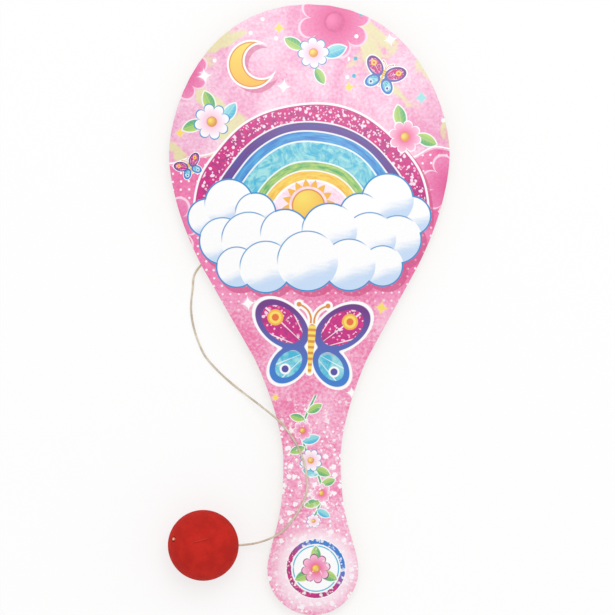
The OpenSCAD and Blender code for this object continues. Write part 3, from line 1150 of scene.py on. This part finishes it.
def drawGround(s, here):
    # watercolour paper: pale above, a deep dotted band across the head, fading down the handle
    x, y, _ = s.split(here)
    broad = s.noise(here, 0.055, 4, 0.62, 0.6)
    grain = s.noise(s.shift(here, 9, 4), 0.9, 2, 0.6)
    tone = s.ramp(broad * 0.62 + grain * 0.38, 0.38, 0.6)
    ink = s.blend(tone, *inkSet["wash"])
    lime = s.noise(s.shift(here, 60, 20), 0.045, 3, 0.5, 0.8)
    ink = s.blend(s.ramp(lime, 0.56, 0.62, eased=True) * 0.75, ink, inkSet["lime"])
    wave = s.math("SINE", x * 0.16) * 2.2 + s.math("SINE", x * 0.43 + 1.3) * 0.6 + designSet["bandTop"]
    bandInk = s.blend(tone, *inkSet["band"])
    dots = s.cells(here, 1 / designSet["dotPitch"], output="Distance", spread=0.12, flat=True)
    bandInk = s.blend(s.ramp(dots, 0.17, 0.11) * 0.9, bandInk, inkSet["white"])
    ink = s.fill(ink, y - wave, bandInk)
    ink = s.blend(s.ramp(abs(y - wave - 0.9), 0.32, 0.22), ink, inkSet["white"])
    fade = s.ramp(y + broad * 14, *designSet["bandFade"], eased=True)
    lower = s.blend(s.ramp(broad * 0.5 + grain * 0.5, 0.4, 0.6), *inkSet["lower"])
    return s.blend(fade, ink, lower), broad


def drawScatter(s, here, ink):
    # daisies in two pinks that run off the edge, dots above, and paint splashed over the handle
    y = s.split(here)[1]
    soft = s.noise(here, 0.9, 2, 0.6)
    rim = s.blend(s.ramp(soft, 0.4, 0.6), inkSet["petalLine"], inkSet["petal"][1])
    petal = s.blend(s.ramp(soft, 0.35, 0.65), inkSet["petal"][0], inkSet["wash"][0])
    middle, deep = inkSet["petal"]
    for spot in designSet["groundDaisies"]:
        ink = stampDaisy(s, here, ink, spot, petal, deep, inkSet["wash"][1], middle, rim)
    here = s.after(here, ink)
    _, pick, hue = s.split(s.cells(here, 0.13, flat=True))
    near = s.cells(here, 0.13, output="Distance", flat=True)
    paint = s.blend(s.ramp(hue, 0.5, 0.52), inkSet["white"], inkSet["turquoise"][0])
    dots = s.ramp(near, 0.105, 0.085) * s.ramp(y, *designSet["dotFade"]) * s.ramp(pick, 0.5, 0.52)
    for cx, cy, radius in (designSet["arch"], designSet["moon"], *designSet["dotFree"]):
        dots = dots * s.ramp(s.distance(here, cx, cy), radius + 2.2, radius + 2.4)
    ink = s.blend(dots, ink, paint)
    here = s.after(here, ink)
    ragged = s.noise(here, 1.1, 2, 0.6) * 0.5
    fade = s.ramp(y, *designSet["splashFade"])
    for across, size, least in ((3, 0.3, 0.62), (17, 0.62, 0.78)):
        drop = s.shift(here, across, 11)
        pick = s.split(s.cells(drop, size, flat=True))[1]
        near = s.cells(drop, size, output="Distance", flat=True) + ragged - 0.25
        splash = s.ramp(near, 0.3, 0.24) * s.ramp(pick, least, least + 0.02) * fade
        ink = s.blend(s.ramp(splash, 0.3, 0.6) * 0.9, ink, inkSet["white"])
    return ink


def drawArch(s, here, ink):
    # six wavy stripes: glitter, violet, blue, marbled turquoise, leaf green and gold
    cx, cy, outer = designSet["arch"]
    keyline = designSet["keyline"]
    x, y, _ = s.split(here)
    cut = s.ramp(y, cy - 1, cy - 0.5)
    sway = s.noise(here, 0.05, 0, 0.5) * 2.4 - 1.2
    shaded = s.distance(s.shift(here, *designSet["shadow"]), cx, cy) + sway - outer
    dark = s.inside(shaded - keyline) * 0.75 * s.ramp(y, cy - 4, cy - 0.5)
    ink = s.blend(dark, ink, inkSet["shadow"])
    edge = s.distance(here, cx, cy) + sway - outer

    def lay(under, distance, color):
        return s.blend(s.inside(distance) * cut, under, color)

    ink = lay(ink, edge - keyline, inkSet["white"])
    glitter = s.group(glitterGroup, Vector=here)
    along = s.angle(y - cy, x - cx) * 12
    strands = s.noise(s.stretch(s.join(edge, along), 1.1, 0.35, 1), 1, 3, 0.6)
    marble = s.noise(s.shift(here, 31, 8), 0.16, 4, 0.62, 2.4)
    tones = {
        "magenta": glitter["Tone"],
        "violet": s.ramp(strands, 0.36, 0.64),
        "blue": s.ramp(strands, 0.62, 0.4),
        "turquoise": s.ramp(marble, 0.4, 0.62),
        "green": s.ramp(strands, 0.36, 0.62),
        "gold": s.ramp(strands, 0.36, 0.64),
    }
    depth = 0
    for (name, tone), width in zip(tones.items(), designSet["stripes"]):
        ink = lay(ink, edge + depth, s.blend(tone, *inkSet[name]))
        if depth:
            ink = s.blend(s.ramp(abs(edge + depth), 0.34, 0.24) * cut * 0.85, ink, inkSet["white"])
        else:
            ink = s.blend(glitter["Fleck"] * s.inside(edge + 0.5) * cut, ink, inkSet["archFleck"])
        depth += width
    ink = lay(ink, edge + depth, inkSet["white"])
    return lay(ink, edge + depth + keyline, s.blend(s.ramp(marble, 0.42, 0.6), *inkSet["sky"]))


def drawSun(s, here, ink):
    cx, cy, radius = designSet["sun"]
    x, y, _ = s.split(here)
    away = s.distance(here, cx, cy)
    rays = s.math("PINGPONG", s.angle(y - cy, x - cx) * (16 / math.pi) + 0.5, 1)
    beam = away - (radius + 1.0 + 2.6 * rays)
    ink = s.blend(s.inside(beam) * s.inside(radius + 0.9 - away), ink, inkSet["gold"][1])
    ink = s.fill(ink, away - radius, inkSet["goldLine"])
    glow = s.blend(s.ramp(s.distance(here, cx - 2, cy + 3), 1, radius + 3), *inkSet["gold"])
    return s.fill(ink, away - radius + 0.5, glow)


def drawClouds(s, here, ink):
    # the drawn line goes round the whole bank, and short arcs curl in from it
    puffs = designSet["puffs"]
    shaded = s.shift(here, *designSet["shadow"])
    under = s.least(*(s.distance(shaded, x, y) - r for x, y, r in puffs if y < designSet["castBelow"]))
    ink = s.blend(s.inside(under - 0.3) * 0.7, ink, inkSet["shadow"])
    here = s.after(here, ink)
    bank = s.least(*(s.distance(here, x, y) - r for x, y, r in puffs))
    ink = s.fill(ink, bank, inkSet["line"])
    ink = s.fill(ink, bank + 0.6, inkSet["white"])
    for x, y, radius in puffs:
        here = s.after(here, ink)
        ink = s.group(puffGroup, Vector=s.shift(here, x, y), Radius=radius, Bank=bank, Under=ink)["Color"]
    return ink


def drawPlants(s, here, ink):
    # the vine down the handle, then loose leaves and daisies
    x, y, _ = s.split(here)
    vine = abs(x - s.math("SINE", (y + 34) * 0.15) * 3.4)
    low, high = designSet["vine"]
    ends = s.ramp(y, low, low + 0.6) * s.ramp(y, high + 0.6, high)
    ink = s.blend(s.ramp(vine, 0.75, 0.6) * ends, ink, inkSet["white"])
    ink = s.blend(s.ramp(vine, 0.42, 0.3) * ends, ink, inkSet["green"][0])
    for i, spot in enumerate(designSet["leaves"]):
        ink = stampLeaf(s, here, ink, spot, "turquoise" if i % 3 == 2 else "green")
    tints = {
        "paleDaisies": (inkSet["white"], inkSet["blush"], inkSet["line"]),
        "brightDaisies": (inkSet["blush"], inkSet["pink"], inkSet["white"]),
    }
    for name, (petal, deep, line) in tints.items():
        for spot in designSet[name]:
            ink = stampDaisy(s, here, ink, spot, petal, deep, line)
    return ink


def drawSky(s, here, ink):
    # crescent moon above the arch, and sparkles
    y = s.split(here)[1]
    cx, cy, radius = designSet["moon"]
    across, up, less = designSet["bite"]

    def crescent(point):
        bite = (radius - less) - s.distance(point, cx + across, cy + up)
        return s.most(s.distance(point, cx, cy) - radius, bite)

    shaded = crescent(s.shift(here, *designSet["shadow"]))
    moon = crescent(here)
    ink = s.blend(s.inside(shaded - 0.5) * 0.6, ink, inkSet["shadow"])
    ink = s.fill(ink, moon - 0.7, inkSet["white"])
    ink = s.fill(ink, moon, inkSet["goldLine"])
    gold = s.blend(s.ramp(y, cy + radius, cy - radius), *inkSet["gold"])
    ink = s.fill(ink, moon + 0.45, gold)
    fills = {"white": inkSet["white"], "turquoise": inkSet["turquoise"][1], "gold": inkSet["gold"][0]}
    for name, spots in designSet["sparkles"].items():
        for spot in spots:
            ink = stamp(s, sparkleGroup, here, ink, spot, Fill=fills[name])
    return ink


def drawBadge(s, here, ink):
    # a white round with a glitter ring, and in it a daisy on three leaves
    cx, cy, radius = designSet["badge"]
    x, y, _ = s.split(here)
    away = s.distance(here, cx, cy)
    ink = s.blend(s.ramp(away, radius + 6.5, radius + 0.5, eased=True) * 0.8, ink, inkSet["halo"])
    ink = s.fill(ink, away - radius, inkSet["white"])
    turn = s.angle(y - cy, x - cx)
    glitter = s.group(glitterGroup, Vector=s.shift(here, 5, 5))
    ring = s.blend(glitter["Tone"], inkSet["plum"], inkSet["magenta"][0])
    ring = s.blend(s.ramp(s.math("SINE", turn + 0.7), -0.2, 0.7, eased=True), ring, inkSet["blue"][0])
    ring = s.blend(glitter["Fleck"] * 0.8, ring, inkSet["white"])
    ragged = s.noise(here, 0.7, 2, 0.6) * 0.5 - 0.25
    ink = s.fill(ink, abs(away - radius + 1.15 + ragged) - 0.85, ring)
    ink = s.fill(ink, abs(away - radius + 2.75) - 0.22, inkSet["turquoise"][0])
    for spot in ((cx - 1, cy - 1, 205, 7.2), (cx + 1, cy - 1, -25, 7.2), (cx, cy + 1, 90, 7.2)):
        ink = stampLeaf(s, here, ink, spot)
    return stampDaisy(s, here, ink, (cx, cy, 10, 5.0), inkSet["blush"], inkSet["pink"], inkSet["plum"])


paperLook = {
    "inkDepth": (0.075, 0.05),  # below the face, where the paper's cut edge gives way to the ink
    "rough": (0.3, 0.38),
    "bump": 0.012,
}


def printedPaper(s):
    here = s.stretch(s.objectMm(), 1, 1, 0)
    ink, broad = drawGround(s, here)
    for draw in (drawScatter, drawArch, drawSun, drawClouds, drawPlants, drawSky):
        here = s.after(here, ink)
        ink = draw(s, here, ink)
    for spot in designSet["butterflies"]:
        ink = stamp(s, butterflyGroup, here, ink, spot)
    ink = drawBadge(s, s.after(here, ink), ink)
    here = s.after(here, ink)
    _, y, z = s.split(s.after(s.objectMm(), ink))
    flecks = s.group(glitterGroup, Vector=s.shift(here, 14, 3))["Fleck"]
    patch = s.ramp(s.noise(here, 0.16, 2, 0.6), 0.46, 0.6) * s.ramp(y, *designSet["fleckFade"])
    ink = s.blend(flecks * patch * 0.8, ink, inkSet["white"])
    edge = s.ramp(z, *(batTop / mm - depth for depth in paperLook["inkDepth"]))
    paper = s.noise(s.objectMm(), 2.6, 2, 0.7)
    ink = s.blend(s.ramp(paper, 0.3, 0.7, 0.05, 0), ink, inkSet["soil"])
    return {
        "Base Color": s.blend(edge, inkSet["paperEdge"], ink),
        "Roughness": s.ramp(broad, 0.3, 0.7, *paperLook["rough"]),
        "Normal": bumped(s, paper, paperLook["bump"], 0.6),
    }


paperMaterial = makeMaterial("printedPaper", printedPaper, **{"Coat Weight": 0.35, "Coat Roughness": 0.12})
printSheet.data.materials.append(paperMaterial)
print("stage: printed design")

studioSet = {
    "worldLevel": 0.94,
    "keyPower": 6.1,
    "keySize": 0.8,
    "keySpot": (0.12, 0.5, 1.35),
    "floorReach": 6,
    "floorTint": (0.98, 0.98, 0.98, 1),
    "floorShade": 0.36,  # how much of the object's shadow the floor shows
}


def directRay(s):
    # 1 for what is seen straight, in a reflection or through glass, and 0 for light on its way
    rays = s.tree.nodes.new("ShaderNodeLightPath").outputs
    return s.most(*(Wire(s, rays[k]) for k in ("Is Camera Ray", "Is Glossy Ray", "Is Transmission Ray")))


def makeFloor():
    bm = bmesh.new()
    bmesh.ops.create_grid(bm, x_segments=2, y_segments=2, size=studioSet["floorReach"])
    floor = finishMesh("studioFloor", bm, smooth=False)
    material = bpy.data.materials.new("studioFloor")
    material.use_nodes = True
    s = Shade(material.node_tree)
    nodes, links = material.node_tree.nodes, material.node_tree.links
    nodes.clear()
    white = nodes.new("ShaderNodeEmission")
    paper = nodes.new("ShaderNodeBsdfDiffuse")
    paper.inputs["Color"].default_value = studioSet["floorTint"]
    mix = nodes.new("ShaderNodeMixShader")
    s.feed(mix.inputs[0], directRay(s) * (1 - studioSet["floorShade"]))
    links.new(paper.outputs[0], mix.inputs[1])
    links.new(white.outputs[0], mix.inputs[2])
    links.new(mix.outputs[0], nodes.new("ShaderNodeOutputMaterial").inputs[0])
    floor.data.materials.append(material)


def makeWorld():
    world = bpy.data.worlds.new("studio")
    bpy.context.scene.world = world
    world.use_nodes = True
    s = Shade(world.node_tree)
    nodes = world.node_tree.nodes
    nodes.clear()
    background = nodes.new("ShaderNodeBackground")
    s.feed(background.inputs["Strength"], s.ramp(directRay(s), 0, 1, studioSet["worldLevel"], 1))
    world.node_tree.links.new(background.outputs[0], nodes.new("ShaderNodeOutputWorld").inputs[0])


def makeKey():
    data = bpy.data.lights.new("keyLight", "AREA")
    data.energy = studioSet["keyPower"]
    data.size = studioSet["keySize"]
    key = bpy.data.objects.new("keyLight", data)
    key.location = studioSet["keySpot"]
    key.rotation_euler = (-key.location).to_track_quat("-Z", "Y").to_euler()
    bpy.context.scene.collection.objects.link(key)


makeFloor()
makeWorld()
makeKey()
bpy.context.scene.view_settings.view_transform = "Standard"
print("stage: floor and lights")
